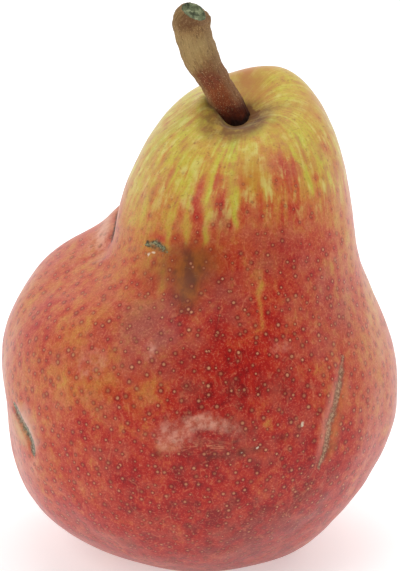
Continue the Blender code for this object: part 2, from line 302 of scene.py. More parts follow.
# Coats in soft patches, by the names of their attributes: middle, reach along each axis, and share
PATCHES = {
    # Pale skin over the bruises and dull with bloom, and painted highlights and reflections: along the lit
    # rim of a
    #     # bruise, glare on the belly, the lit ridge beside the fold, the left shoulder, the left of the neck
    #     and both sides
    "pale": (
        # Pale skin of the bruises; along the upper rim of the right one, a painted highlight
        ((-2.4, -35.5, 36.4), (1.5, 3, 1.9), 0.66),
        ((-0.6, -35.3, 38.1), (1.7, 3, 1.2), 0.95),
        ((1.4, -35.2, 38.3), (1.7, 3, 1.2), 1),
        ((3.4, -35.1, 37.6), (2.2, 3, 1.4), 0.66),
        ((6, -35, 36.4), (2.2, 3, 1.5), 0.46),
        ((-5.2, -35.3, 37), (2.4, 3, 2.3), 0.5),
        ((-6.6, -35.2, 34.8), (2, 3, 2.2), 0.56),
        ((-4.4, -35.5, 34), (2.6, 3, 1.6), 0.56),
        # Painted glare on the upper left of the belly
        ((-8.7, -30.7, 49.5), (1.2, 3, 1.8), 0.84),
        ((-18.2, -28.1, 46.9), (2.2, 4, 3), 0.42),
        ((-20.6, -26.2, 44.6), (1.6, 4, 2.2), 0.36),
        # Pale patches on the right of the belly and at the foot of the left scar
        ((14.5, -29, 49.5), (2.2, 4, 1.6), 0.46),
        ((-30, -19.6, 22.8), (1.6, 3, 2.6), 0.5),
        # A painted highlight on the lit ridge left of the fold, and a painted reflection over the left
        # shoulder
        ((-18.2, -1.6, 60.6), (3.4, 4.6, 3), 0.82),
        ((-17.4, 2.6, 62), (3, 3.6, 2.2), 0.3),
        ((-25, -4, 57), (6, 7, 3.5), 0.34),
        # Painted glare on the left of the belly, and a painted gloss on the left of the neck
        ((-21, -24, 45), (6, 7, 6), 0.16),
        ((-9.5, -8.5, 75), (4, 5, 5), 0.3),
        ((-12, -30.5, 44.5), (4, 5, 3.5), 0.24),
        # A painted reflection of the white surround down both sides
        ((-30, -14, 30), (7, 14, 12), 0.25),
        ((32, -14, 34), (6, 14, 16), 0.22),
    ),
    # Where the spots fade
    "spotless": (
        ((-4, -35.4, 36.4), (5.4, 4, 3.6), 0.9),
        ((3.4, -35.2, 36.4), (4.4, 4, 2.8), 0.75),
        ((0, -23, 63), (4, 5, 4.5), 0.5),
        ((0, -6, 88), (22, 24, 9), 0.6),
        ((2, -26, 17), (30, 25, 13), 0.4),
    ),
    # Dull, mauve bloom
    "dull": (
        ((2.9, -26.3, 58.6), (4.5, 6, 4.5), 0.5),
        ((13, -22.5, 65), (5, 6, 5), 0.45),
        ((4.5, -21, 71), (1.8, 4, 3.2), 0.5),
        ((-9.5, -27.5, 53.5), (7.5, 8, 6), 0.6),
        ((-5, -30.5, 49), (6, 6, 4), 0.3),
        ((24, -20, 54), (7, 8, 9), 0.35),
        ((10, -30, 12), (28, 18, 9), 0.16),
        # A clear strip below the smudge
        ((-2.4, -26.5, 57.5), (2.2, 5, 6.5), -0.5),
    ),
    # Russet besides the ring round the stem
    "russet": (
        ((12.8, -2.6, 85.6), (4, 1.3, 1.6), 0.6),
        ((9.8, -0.2, 84.8), (2.2, 2, 1.8), 0.7),
        ((12, -6.4, 84.6), (2.8, 2.2, 2), 0.4),
        ((-1.4, -4.8, 83.3), (3.2, 2.6, 2.4), -0.25),
    ),
    "tan": (
        ((7, 7.5, 89.4), (5, 5, 4), 1),
        ((9.6, 2, 87), (2.6, 3.6, 2.6), 0.75),
        ((-5.8, -35.5, 33.3), (2, 3, 0.9), 0.5),
        ((21, 2, 85), (3, 7, 5), 0.7),
        ((12, 12, 89), (6, 5, 4), 0.55),
    ),
    # Right of the longest yellow streak and of the cavity
    "ochre": (
        ((9, -17, 78), (2.2, 3, 2.8), 1),
        ((13.4, -9.2, 83.8), (2.6, 2.6, 2), 0.5),
    ),
    # The brown smudge on the neck
    "smudge": (
        ((-0.4, -22.8, 63.4), (4.6, 4, 4.4), 1.05),
        ((-2.6, -25, 59.6), (2.6, 4, 4), 0.85),
        ((-1.4, -26.4, 57.4), (1.8, 4, 2.4), 0.4),
        ((-6.8, -20, 61), (4, 5, 6), 0.5),
    ),
    # Dark blots in it, round the pits under the bruises, and painted shade right of the stem's foot
    "blots": (
        ((-1.8, -23.1, 62.5), (1, 2, 1), 0.26),
        ((-1, -24.1, 60.6), (0.9, 2, 0.8), 0.28),
        ((0.8, -22.6, 64.4), (1.2, 2, 0.9), 0.18),
        ((-2.8, -21.6, 64.6), (1, 2, 0.9), 0.26),
        ((7.4, -35.3, 32.2), (1, 2, 0.7), 0.8),
        ((10.1, -34.6, 32.5), (1.2, 2, 0.6), 0.7),
        ((6.3, -35.3, 34.3), (0.8, 2, 0.5), 0.7),
        ((4, -35.8, 31.5), (0.9, 2, 0.5), 0.55),
        ((2, -35.9, 31.4), (0.9, 2, 0.5), 0.6),
        ((14.9, -32.8, 33.9), (0.9, 2, 0.6), 0.6),
        ((-7.3, -35.3, 31.8), (0.9, 2, 0.8), 0.55),
        ((-4.9, -35.4, 36.8), (1.2, 2, 1.2), 0.22),
        # Painted shade low in the cavity, right of the stem's foot
        ((9.8, -4.2, 84), (2.4, 2.2, 1.8), 0.34),
    ),
    # Small white flecks
    "white": (
        ((18.4, -30.8, 35.6), (0.4, 1.5, 0.6), 1),
        ((-9.1, -18, 63.2), (0.28, 1.5, 0.52), 1),
        ((-8.2, -18.6, 63.8), (0.52, 1.5, 0.24), 1),
        ((7.6, -35.2, 32.3), (0.42, 1.5, 0.26), 1),
        ((10.3, -34.6, 32.6), (0.36, 1.5, 0.22), 1),
        ((11.2, -34.4, 33), (0.36, 1.5, 0.22), 1),
    ),
    # Fine pale wrinkles that run level across a patch under the bruises
    "wrinkled": (
        ((1.2, -35.8, 33.4), (5, 3, 1), 1),
    ),
}

# The ring of russet round the stem: its middle, the radii where it starts to fade and ends, and the heights
# between which it sets in
RUSSET_MIDDLE = (5.9, -4.6)
RUSSET_RADII = (4.2, 8.2)
RUSSET_HEIGHTS = (79, 81)

# The stem's middle at the floor of its cavity
STEM_ROOT = (6.2, -0.8, 83)

# The stem from its root in the flesh up to its cut end: middle and half width
STEM_AROUND = 150
STEM_ALONG = 250
STEM_SECTIONS = (
    (7.8, -0.4, 77.8, 2.6),
    (6.3, -0.6, 83, 3),
    (5, -0.7, 86.2, 2.9),
    (3.6, -0.8, 89, 2.7),
    (2.1, -1, 91.8, 2.7),
    (0.4, -1, 94.8, 3.1),
    (-0.6, -1.2, 98, 3.2),
    (-1.2, -1.3, 100.4, 3.2),
    (-1.3, -1.4, 101.8, 3.3),
    (-1.3, -1.5, 102.9, 3.1),
    (-1, -1.6, 103.7, 2.4),
)
STEM_LOBES = ((0.05, 2, 0.6), (0.04, 3, 2))
STEM_CUT_TILT = (0.08, 0.24)
STEM_CUT_LENGTH = 5.0
STEM_CUT_RINGS = 16
STEM_CUT_DISH = 0.7

# Lengthwise grain of the stem: height, how many ridges there are, and how far they wander. They wander to
# and fro by so many radians a millimetre.
STEM_GRAIN_WANDER = 0.35
STEM_GRAIN = ((0.04, 13, 0.9), (0.032, 23, 1.7), (0.02, 41, 0.6))

# Lumps of the bark, and fibres of the cut end: height, shortest and longest wave, and seed. The dish and the
# fibres set in up to these shares of the way from the rim inwards, and the painted shade of the rim fades
# with this power.
STEM_LUMPS = ((0.08, 2, 5, 21), (0.025, 0.8, 1.8, 22))
STEM_CUT_FIBRES = ((0.14, 0.5, 1.6, 23),)
STEM_CUT_DISH_BY = 0.4
STEM_CUT_FIBRES_BY = 0.2
STEM_CUT_RIM_POWER = 6

# Radii of the circles that the patterns of the skin and the stem are wound round
SKIN_GRAIN_RADIUS = 20.0
STEM_GRAIN_RADIUS = 3.2

# The calyx: a tube rooted in the flesh, which opens into dried sepals. Its wrinkles have rows as the lumps
# of the skin, set in down from its root, and push by these shares along the axes.
CALYX_MIDDLE = (2.4, 0)
CALYX_AROUND = 150
CALYX_ALONG = 30
CALYX_ROOT = 8.6
CALYX_THROAT = 4.8
CALYX_HALF_WIDTH = 1.7
CALYX_WALL = 0.8
SEPALS = 5
SEPAL_LENGTH = 3.8
SEPAL_NOTCH_LENGTH = 0.9
SEPAL_FLARE = 1.15
SEPAL_POINT = 1.5
SEPAL_THINNING = 0.45
CALYX_WRINKLES = ((0.07, 0.5, 1.4, 31),)
CALYX_WRINKLES_BY = 3.0
CALYX_WRINKLES_ALONG = (1, 1, 0.6)

# Tones of the skin, from the least red to the reddest
SKIN_TONES = (
    (0, (180, 184, 54)),
    (0.14, (196, 183, 56)),
    (0.28, (199, 158, 55)),
    (0.42, (198, 120, 49)),
    (0.56, (192, 78, 36)),
    (0.7, (182, 38, 18)),
    (0.84, (168, 12, 8)),
    (1, (136, 3, 5)),
)

# Bands of paler or browner skin beside the lines: how far to the right of the line, reach, share and tone
SKIN_BANDS = (
    # On the crease's raised lip: a painted highlight
    ("crease", -2.2, 2.4, 0.5, (222, 182, 158)),
    ("left_scar", 2.2, 3, 0.72, (212, 164, 144)),
    ("left_scar", -2.8, 2.8, 0.66, (200, 160, 98)),
    ("right_scar", -1, 1.5, 0.55, (206, 128, 104)),
    ("right_scar", 1.6, 1.6, 0.5, (204, 124, 52)),
    ("scab", 1.3, 0.9, 0.6, (186, 44, 28)),
)

# Lines in the skin: half width in millimetres, raggedness, and their dark and light tone
SKIN_LINES = (
    # The crease's near-black line is painted shade in its slit
    ("crease", 0.62, 0.5, (26, 28, 14), (64, 70, 44)),
    ("left_scar", 1.15, 1.2, (58, 56, 34), (154, 154, 124)),
    ("right_scar", 0.78, 1.2, (122, 78, 52), (186, 148, 114)),
    ("scab", 0.8, 1.3, (44, 44, 26), (140, 142, 106)),
)

# Tones of the stem by the place along it, from its root up to its cut end
STEM_TONES = (
    # Near-black at the foot, where the stem sits in its cavity: painted shade
    (0.2, (34, 10, 4)),
    (0.27, (82, 27, 7)),
    (0.34, (124, 52, 18)),
    (0.46, (144, 74, 36)),
    (0.55, (126, 60, 38)),
    (0.61, (132, 86, 52)),
    (0.68, (166, 134, 84)),
    (0.8, (170, 142, 92)),
    (0.9, (156, 122, 76)),
    (0.96, (112, 74, 42)),
    (1, (120, 84, 52)),
)

# Tones of the stem's cut end and of the calyx, from the darkest to the palest
STEM_CUT_TONES = (
    (0.24, (26, 28, 20)),
    (0.36, (78, 84, 60)),
    (0.48, (126, 134, 100)),
    (0.62, (168, 174, 136)),
)
CALYX_TONES = ((0.3, (34, 24, 16)), (0.52, (72, 50, 32)), (0.72, (112, 84, 54)))

# The camera: how far from the pear, how high above the level, millimetres to a pixel there, and the pixels of
# the frame's middle and of the spot under the pear's middle
PICTURE_WIDTH = 400
CAMERA_AWAY = 700.0
CAMERA_ELEVATION = np.radians(20)
MM_PER_PIXEL = 0.189
PICTURE_MIDDLE = (200, 285.5)
FOOT_PIXEL = (199.5, 538)
SENSOR_WIDTH = 36.0

# The floor: half its side in metres, how strongly it shines by itself, and its darkest and palest grey
FLOOR_HALF_SIDE = 3.0
FLOOR_GLOW = 0.46
FLOOR_GREYS = (0.76, 0.8)

# The surround fades between two cosines of the angle to the camera's side, from one strength to the other
SURROUND = (-0.2, 0.7, 1.06, 0.15)

# Lamps: name, place and side in metres, and how brightly the face shines. All face the aim.
LAMPS = (
    ("lamp_left", (-0.6, -0.6, 0.8), 0.55, 3.15),
    ("lamp_right", (0.6, -0.1, 0.9), 0.6, 1.6),
    ("lamp_top", (0.05, 0.05, 1.15), 0.8, 2),
)
LAMP_AIM = (0, 0, 0.05)


def ease(value, low=0, high=1):
    """A smooth step: 0 up to the low value, 1 from the high one on."""
    share = np.clip((value - low) / (high - low), 0, 1)
    return share * share * (3 - 2 * share)


def bell(value, middle, reach):
    """1 at the middle, fading on both sides as a bell curve over the reach."""
    return np.exp(-(((value - middle) / reach) ** 2))


def running(steps):
    """The running sum of the steps, from 0."""
    return np.concatenate([[0], np.cumsum(steps)])


def full_turn(count):
    """Angles evenly spaced round a full turn."""
    return np.linspace(0, 2 * np.pi, count, endpoint=False)


def patches(points, rows):
    """The sum of soft patches: for each row its share, or push, times a bell curve on all sides of its
    middle, over its reach along each axis."""
    total = 0.0
    for middle, reach, share in rows:
        away = (points - np.array(middle)) / np.array(reach)
        total = total + np.multiply.outer(np.exp(-np.sum(away**2, axis=-1)), share)
    return total


def bends(knots, values):
    """Second derivative at each knot of the natural cubic spline: none at its ends, slopes smooth between."""
    gaps = np.diff(knots)
    slopes = np.diff(values, axis=0) / gaps[:, None]
    system = np.eye(len(knots))
    right_side = np.zeros_like(values)
    inner = np.arange(1, len(knots) - 1)
    system[inner, inner - 1] = gaps[:-1]
    system[inner, inner] = 2 * (gaps[:-1] + gaps[1:])
    system[inner, inner + 1] = gaps[1:]
    right_side[inner] = 6 * (slopes[1:] - slopes[:-1])
    return np.linalg.solve(system, right_side)


def spline(knots, values, at):
    """Values of the natural cubic spline at the given places, one row each."""
    bend = bends(knots, values)
    left = np.clip(np.searchsorted(knots, at, side="right") - 1, 0, len(knots) - 2)
    gap = (knots[left + 1] - knots[left])[:, None]
    past = (at - knots[left])[:, None]
    ahead = gap - past
    cubic = (bend[left] * ahead**3 + bend[left + 1] * past**3) / (6 * gap)
    from_left = (values[left] / gap - bend[left] * gap / 6) * ahead
    from_right = (values[left + 1] / gap - bend[left + 1] * gap / 6) * past
    return cubic + from_left + from_right


def waves(points, shortest, longest, seed, count=14):
    """Soft unevenness of about -1 to 1: the sum of plane waves with drawn directions, lengths and phases."""
    draw = np.random.default_rng(seed)
    total = np.zeros(points.shape[:-1])
    for _ in range(count):
        direction = draw.normal(size=3)
        direction /= np.linalg.norm(direction)
        length = draw.uniform(shortest, longest)
        total += np.cos(2 * np.pi * (points @ direction) / length + draw.uniform(0, 2 * np.pi))
    return total / np.sqrt(count)


def lumps(points, rows):
    """Height of soft lumps: the sum of waves, for each row its height, shortest and longest, and seed."""
    return sum(height * waves(points, shortest, longest, seed) for height, shortest, longest, seed in rows)


def outward(points):
    """Unit normals of a closed skin: the cross product of its steps round and along."""
    around = np.roll(points, -1, axis=1) - np.roll(points, 1, axis=1)
    along = np.gradient(points, axis=0)
    normals = np.cross(around, along)
    return normals / np.maximum(np.linalg.norm(normals, axis=-1, keepdims=True), 1e-12)


def beside(points, normals, path):
    """For each point, its distance from the line through the path, and how far along the line it lies, 0 to
    1. The distance is positive on the side that the outward normal crossed with the line's direction points
    to, which is the right of a line that runs down."""
    path = np.array(path)
    nearest = np.full(points.shape[:-1], np.inf)
    place = np.zeros(points.shape[:-1])
    stretches = len(path) - 1
    for number in range(stretches):
        start = path[number]
        step = path[number + 1] - start
        share = np.clip((points - start) @ step / (step @ step), 0, 1)
        off = points - start - share[..., None] * step
        side = np.sum(np.cross(normals, step) * off, axis=-1)
        distance = np.linalg.norm(off, axis=-1) * np.where(side < 0, -1, 1)
        closer = np.abs(distance) < np.abs(nearest)
        nearest = np.where(closer, distance, nearest)
        place = np.where(closer, (number + share) / stretches, place)
    return nearest, place


def tapered(place):
    """Fades a line towards both its ends: a half circle over its length."""
    return np.sqrt(np.clip(4 * place * (1 - place), 0, 1))


def fit(points, node):
    """The points, moved and stretched by a hair so that they fill the CAD node's box and no more."""
    low, high = (np.array(corner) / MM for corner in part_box(node))
    least = points.reshape(-1, 3).min(axis=0)
    most = points.reshape(-1, 3).max(axis=0)
    return low + (points - least) * (high - low) / (most - least)


def skin_bearings():
    """Bearings round the skin, 0 at the front and growing to the right, closer on the crowded side."""
    turn = full_turn(SKIN_AROUND)
    return turn - CROWDING * np.sin(turn - CROWDED_BEARING)


def smooth_skin():
    """The skin without its fine relief, as rings of points, base hollow first: ellipses on a leaning course
    of middles, ribbed near the base, then the tilt of the crown, the swellings and the fold. What would hang
    below the ground is pressed flat on it."""
    table = np.array(SKIN_SECTIONS)
    mirror = np.array((1, -1, -1, 1, 1))
    table = np.vstack([table[1] * mirror, table, table[-2] * mirror])
    steps = np.hypot(np.diff(table[:, 0]), np.diff(table[:, 1]))
    knots = running(steps)
    sections = spline(knots, table, np.linspace(knots[1], knots[-2], SKIN_ALONG))
    height, half_width, half_depth, middle_x, middle_y = sections.T[:, :, None]
    bearing = skin_bearings()
    ribs = np.cos(BASE_RIBS * bearing + BASE_RIB_TURN) * (1.0 - ease(height / BASE_RIBS_TO))
    right = half_width * np.sin(bearing) * (1.0 + BASE_RIB_SHARE * ribs)
    back = -half_depth * np.cos(bearing) * (1.0 + BASE_RIB_SHARE * ribs)
    crown = ease(height, *CROWN_TILT_HEIGHTS)
    up = height + crown * (CROWN_TILT[0] * right + CROWN_TILT[1] * back)
    points = np.stack([right + middle_x, back + middle_y, up], axis=-1)
    points = points + patches(points, SWELLINGS)
    normals = outward(points)
    distance, place = beside(points, normals, FOLD_PATH)
    fold = FOLD_DEPTH * tapered(place) * np.exp(-((np.abs(distance) / FOLD_HALF_WIDTH) ** FOLD_FLOOR))
    points = points - fold[..., None] * normals
    points[..., 2] = np.maximum(points[..., 2], 0)
    return fit(points, "body")


def unevenness(points):
    """Height of the skin's soft lumps, which fade out towards the foot."""
    return lumps(points, SKIN_LUMPS) * ease(points[..., 2] / SKIN_LUMPS_BY)


def crown_wrinkles(points):
    """Height of the wrinkles that run out from the stem: a wave round the stem whose crests wander, which is
    tallest a little way out."""
    right, back = (points[..., axis] - STEM_ROOT[axis] for axis in (0, 1))
    away = np.hypot(right, back)
    turn = np.arctan2(back, right)
    coarse, fine = CROWN_WRINKLE_COUNTS
    crests = np.cos(coarse * turn + 2 * np.sin(3 * turn) + 0.4 * away)
    crests = crests + 0.6 * np.cos(fine * turn - 0.7 * away)
    on_top = ease(points[..., 2], *CROWN_WRINKLE_HEIGHTS)
    return CROWN_WRINKLE_HEIGHT * crests * bell(away, *CROWN_WRINKLE_RING) * on_top


def crease_relief(distance, place):
    """The sharp crease in the floor of the fold, with a raised lip on its left."""
    height, middle, reach = CREASE_LIP
    crease = -CREASE_DEPTH * np.exp(-np.abs(distance) / CREASE_WIDTH)
    return (crease + height * bell(distance, middle, reach)) * tapered(place)


def scar_relief(distance, place, half_width, depth, lip_side):
    """A scar: a groove of the half width with a flat floor, and a rounded lip along one side."""
    height, middle, reach = SCAR_LIP
    groove = -depth * (1.0 - ease(np.abs(distance) / half_width, *SCAR_WALL))
    lip = height * bell(distance * lip_side, middle * half_width, reach * half_width)
    return (groove + lip) * tapered(place)


def bruise_relief(points, normals):
    """A bruise: the skin steps up across the rim and sinks back slowly below it."""
    total = np.zeros(points.shape[:-1])
    for path in BRUISE_RIMS:
        distance, place = beside(points, normals, path)
        rise = ease(distance / BRUISE_RISE, -0.5, 0.5)
        step = rise * np.exp(-((np.maximum(distance, 0) / BRUISE_FADE) ** 2))
        total += BRUISE_HEIGHT * step * tapered(place)
    return total


def blush(points):
    """How red the skin is: a value by height, with soft patches, and on the neck the streaks, which run down
    between two bearings, narrow downwards and pull the redness towards their own."""
    x, y, z = np.moveaxis(points, -1, 0)
    redness = np.interp(z, *np.array(BLUSH_BY_HEIGHT).T) + patches(points, BLUSH_PATCHES)
    neck_turn = np.degrees(np.arctan2(x - NECK_MIDDLE[0], NECK_MIDDLE[1] - y))
    neck_turn = neck_turn + lumps(points, STREAK_WAVER)
    for low_turn, high_turn, half_width, low, high, tone, share in STREAKS:
        up = np.clip((z - low) / (high - low), 0, 1)
        turn = low_turn + (high_turn - low_turn) * up
        width = half_width * (STREAK_TIP + (1.0 - STREAK_TIP) * ease(2 * up))
        across = np.radians(neck_turn - turn) * NECK_RADIUS / width
        ends = ease((z - low) / STREAK_ENDS[0]) * ease((high - z) / STREAK_ENDS[1])
        shown = STREAK_STRENGTH * share * np.exp(-(np.abs(across) ** STREAK_EDGE)) * ends
        redness = redness + shown * (tone - redness)
    return redness


def skin_coats(points):
    """Broad coats of colour: the soft patches, how red, streaked and mottled the skin is, and the ring of
    russet round the stem."""
    x, y, z = np.moveaxis(points, -1, 0)
    away = np.hypot(x - RUSSET_MIDDLE[0], y - RUSSET_MIDDLE[1])
    coats = {name: patches(points, rows) for name, rows in PATCHES.items()}
    coats["russet"] += (1.0 - ease(away, *RUSSET_RADII)) * ease(z, *RUSSET_HEIGHTS)
    coats["blush"] = blush(points)
    coats["streaky"] = STREAKY[0] + STREAKY[1] * bell(z, *STREAKY[2:])
    coats["grainy"] = 1.0 - CALM[0] * ease(z, *CALM[1:])
    coats["mottled"] = coats["grainy"] * (MOTTLED[0] + MOTTLED[1] * ease(coats["blush"], *MOTTLED[2:]))
    return coats


def way_along(rings):
    """How far each ring lies from the first one, along the skin and as a mean round it."""
    return running(np.linalg.norm(np.diff(rings, axis=0), axis=-1).mean(axis=1))


def spot_middles(points):
    """Places of the skin's spots, as ring and bearing numbers of the grid, in rows round the fruit. The rows
    and the spots in them lie evenly, at a spacing by height, and each is then shifted at random."""
    draw = np.random.default_rng(SPOT_SEEDS[0])
    heights = points[..., 2].mean(axis=1)
    along = way_along(points)
    arcs = np.cumsum(np.linalg.norm(np.roll(points, -1, axis=1) - points, axis=-1), axis=1)
    rings = []
    bearings = []
    place = SPOTS_FROM_START
    while place < along[-1] - SPOTS_FROM_END:
        ring = int(np.searchsorted(along, place))
        spacing = np.interp(heights[ring], *np.array(SPOT_SPACING).T)
        count = max(int(arcs[ring, -1] / spacing), 3)
        turn = (np.arange(count) + draw.uniform(-SPOT_JITTER, SPOT_JITTER, count) + draw.uniform()) / count
        bearings.append(np.searchsorted(arcs[ring], (turn % 1) * arcs[ring, -1]) % SKIN_AROUND)
        shifts = draw.uniform(-SPOT_JITTER, SPOT_JITTER, count) * spacing
        rings.append(np.clip(np.searchsorted(along, place + shifts), 1, SKIN_ALONG - 2))
        place += SPOT_ROW_GAP * spacing
    return np.concatenate(rings), np.concatenate(bearings)


def spots_on_faces(points):
    """For each corner of each quad, how far it lies from the middle of the spot nearest to the quad, in
    millimetres, and for each quad the radius and a random tint of that spot."""
    rings, bearings = spot_middles(points)
    middles = points[rings, bearings]
    draw = np.random.default_rng(SPOT_SEEDS[1])
    radii = np.interp(middles[:, 2], *np.array(SPOT_RADIUS).T) * draw.uniform(*SPOT_SIZES, len(middles))
    tints = draw.uniform(0, 1, len(radii))
    corners = np.stack(quad_corners(points), axis=2)
    offsets = np.full_like(corners, FAR)
    sizes = np.ones(corners.shape[:2])
    face_tints = np.zeros(corners.shape[:2])
    for row in range(len(corners)):
        near = np.nonzero(np.abs(rings - row) < SPOT_SEARCH)[0]
        if len(near) == 0:
            continue
        gaps = np.linalg.norm(corners[row].mean(axis=1)[:, None] - middles[near], axis=-1)
        chosen = near[np.argmin(gaps, axis=1)]
        offsets[row] = corners[row] - middles[chosen][:, None]
        sizes[row] = radii[chosen]
        face_tints[row] = tints[chosen]
    return offsets, sizes, face_tints


def place_object(name, data):
    """Puts a new object with the data into the scene."""
    made = bpy.data.objects.new(name, data)
    bpy.context.scene.collection.objects.link(made)
    return made


def quad_corners(values):
    """The values at the four corners of each quad of a grid that closes round, in the order of its loops."""
    nearer = np.roll(values, 1, axis=1)
    return nearer[:-1], values[:-1], values[1:], nearer[1:]


def grid_mesh(name, rings, start, end):
    """A closed mesh through the rings of points, with a fan to one point at each end. Millimetres come in."""
    count, around = rings.shape[:2]
    numbers = np.arange(count * around).reshape(count, around)
    quads = np.stack(quad_corners(numbers), axis=-1).reshape(-1, 4)
    before = np.roll(numbers, 1, axis=1)
    first, last = count * around, count * around + 1
    bottom = np.stack([numbers[0], before[0], np.full(around, first)], axis=-1)
    top = np.stack([before[-1], numbers[-1], np.full(around, last)], axis=-1)
    points = np.concatenate([rings.reshape(-1, 3), [start, end]]) * MM
    mesh = bpy.data.meshes.new(name)
    mesh.from_pydata(points, [], quads.tolist() + bottom.tolist() + top.tolist())
    mesh.shade_smooth()
    return place_object(name, mesh)


def note(piece, name, values, domain="POINT"):
    """Keeps numbers or vectors as an attribute of a mesh."""
    kind, field = ("FLOAT_VECTOR", "vector") if values.ndim == 2 else ("FLOAT", "value")
    attribute = piece.data.attributes.new(name, kind, domain)
    attribute.data.foreach_set(field, values.astype(np.float32).ravel())


def note_points(piece, name, values, tips=(0, 0)):
    """Keeps a value for each point of a grid mesh, with the two tips last."""
    note(piece, name, np.concatenate([values.ravel(), tips]))


def note_vectors(piece, name, values):
    """Keeps a vector for each point of a grid mesh. The two tips take the mean of the ring beside them."""
    tips = [values[0].mean(axis=0), values[-1].mean(axis=0)]
    note(piece, name, np.concatenate([values.reshape(-1, 3), tips]))


def note_spots(piece, offsets, sizes, tints):
    """Keeps the spots' offsets by corner, and their sizes and tints by face. The fans have none."""
    corners = np.full((len(piece.data.loops), 3), FAR)
    corners[: offsets.size // 3] = offsets.reshape(-1, 3)
    note(piece, "spot", corners, "CORNER")
    for name, values in (("spot_size", sizes), ("spot_tint", tints)):
        faces = np.ones(len(piece.data.polygons))
        faces[: values.size] = values.ravel()
        note(piece, name, faces, "FACE")


def wind(radius, across, deep, along):
    """Places for a pattern that follows a piece: each ring on the same circle, at its own way along."""
    return np.stack(np.broadcast_arrays(radius * across, radius * deep, along[:, None]), axis=-1)


def make_skin():
    """The skin: the smooth skin with its relief, closed at the floors of both hollows."""
    base = smooth_skin()
    normals = outward(base)
    lines = {name: beside(base, normals, path) for name, path in LINE_PATHS.items()}
    relief = unevenness(base) + crown_wrinkles(base) + bruise_relief(base, normals) + patches(base, PITS)
    relief += crease_relief(*lines["crease"])
    for name, shape in SCAR_SHAPES.items():
        relief += scar_relief(*lines[name], *shape)
    points = base + relief[..., None] * normals
    points[..., 2] = np.maximum(points[..., 2], 0)
    points = fit(points, "body")
    rings = points[1:-1]
    skin = grid_mesh("pear_skin", rings, points[0, 0], points[-1, 0])
    for name, values in skin_coats(rings).items():
        note_points(skin, name, values)
    for name, (distance, place) in lines.items():
        note_vectors(skin, name, np.stack([distance, place, 0 * place], axis=-1)[1:-1])
    bearing = skin_bearings()
    wound = wind(SKIN_GRAIN_RADIUS, np.sin(bearing), np.cos(bearing), way_along(base))
    note_vectors(skin, "grain", wound[1:-1])
    note_spots(skin, *spots_on_faces(rings))
    skin.data.materials.append(skin_material())
    return skin


def shade(red, green, blue):
    """A colour as a screen shows it, 0 to 255, in the linear light that a shader takes."""
    share = np.array((red, green, blue)) / 255.0
    linear = np.where(share < 0.04045, share / 12.92, ((share + 0.055) / 1.055) ** 2.4)
    return (*linear.tolist(), 1)


class Nodes:
    """Builds the shader of a material or of the surround. A call that adds a node gives back its output."""

    def __init__(self, owner, shader="Principled BSDF", **constants):
        self.owner = owner
        owner.use_nodes = True
        self.tree = owner.node_tree
        self.shader = self.tree.nodes[shader]
        self.plug(self.shader, {key.replace("_", " "): value for key, value in constants.items()})

    def plug(self, node, sockets):
        for key, value in sockets.items():
            if isinstance(value, bpy.types.NodeSocket):
                self.tree.links.new(value, node.inputs[key])
            else:
                node.inputs[key].default_value = value

    def add(self, kind, sockets, output=0, **settings):
        node = self.tree.nodes.new("ShaderNode" + kind)
        for name, value in settings.items():
            setattr(node, name, value)
        self.plug(node, sockets)
        return node.outputs[output]

    def math(self, operation, first, second=0):
        return self.add("Math", {0: first, 1: second}, operation=operation)

    def times(self, *values):
        """The product of values."""
        product = values[0]
        for value in values[1:]:
            product = self.math("MULTIPLY", product, value)
        return product

    def sum(self, *shares):
        """The sum of values. A tuple of values counts with their product."""
        total = None
        for share in shares:
            part = self.times(*share) if isinstance(share, tuple) else share
            total = part if total is None else self.math("ADD", total, part)
        return total

    def vector(self, operation, first, second=(0, 0, 0), output=0):
        return self.add("VectorMath", {0: first, 1: second}, output, operation=operation)

    def stretch(self, vector, scale):
        return self.vector("MULTIPLY", vector, scale)

    def value(self, name):
        return self.add("Attribute", {}, "Fac", attribute_name=name)

    def vectors(self, name):
        return self.add("Attribute", {}, "Vector", attribute_name=name)

    def where(self, kind="Object"):
        return self.add("TexCoord", {}, kind)

    def noise(self, vector, scale, detail=2, roughness=0.5, distortion=0):
        sockets = {"Vector": vector, "Scale": scale, "Detail": detail}
        return self.add("TexNoise", {**sockets, "Roughness": roughness, "Distortion": distortion})

    def step(self, value, low, high, to_low=0, to_high=1):
        """A smooth step from low to high."""
        sockets = {0: value, 1: low, 2: high, 3: to_low, 4: to_high}
        return self.add("MapRange", sockets, interpolation_type="SMOOTHSTEP")

    def ramp(self, value, tones):
        """A tone by the value, between tones at rising places."""
        output = self.add("ValToRGB", {0: value})
        bar = output.node.color_ramp.elements
        for _ in range(len(tones) - 2):
            bar.new(0.5)
        for stop, (place, tone) in zip(bar, tones):
            stop.position = place
            stop.color = shade(*tone)
        return output

    def blend(self, share, *colours):
        """From the first to the second colour by the share. A colour is an output or a tone."""
        first, second = (shade(*colour) if isinstance(colour, tuple) else colour for colour in colours)
        return self.add("Mix", {0: share, 6: first, 7: second}, 2, data_type="RGBA")

    def coat(self, colour, *shares):
        """Lays a colour over what is painted so far, by the product of the shares."""
        self.painted = self.blend(self.times(*shares), self.painted, colour)

    def finish(self, roughness, height, distance):
        """Plugs the shader, with the bump of a height over a distance in metres, and gives the material."""
        bump = self.add("Bump", {"Height": height, "Distance": distance, "Strength": 1.0})
        self.plug(self.shader, {"Base Color": self.painted, "Roughness": roughness, "Normal": bump})
        return self.owner


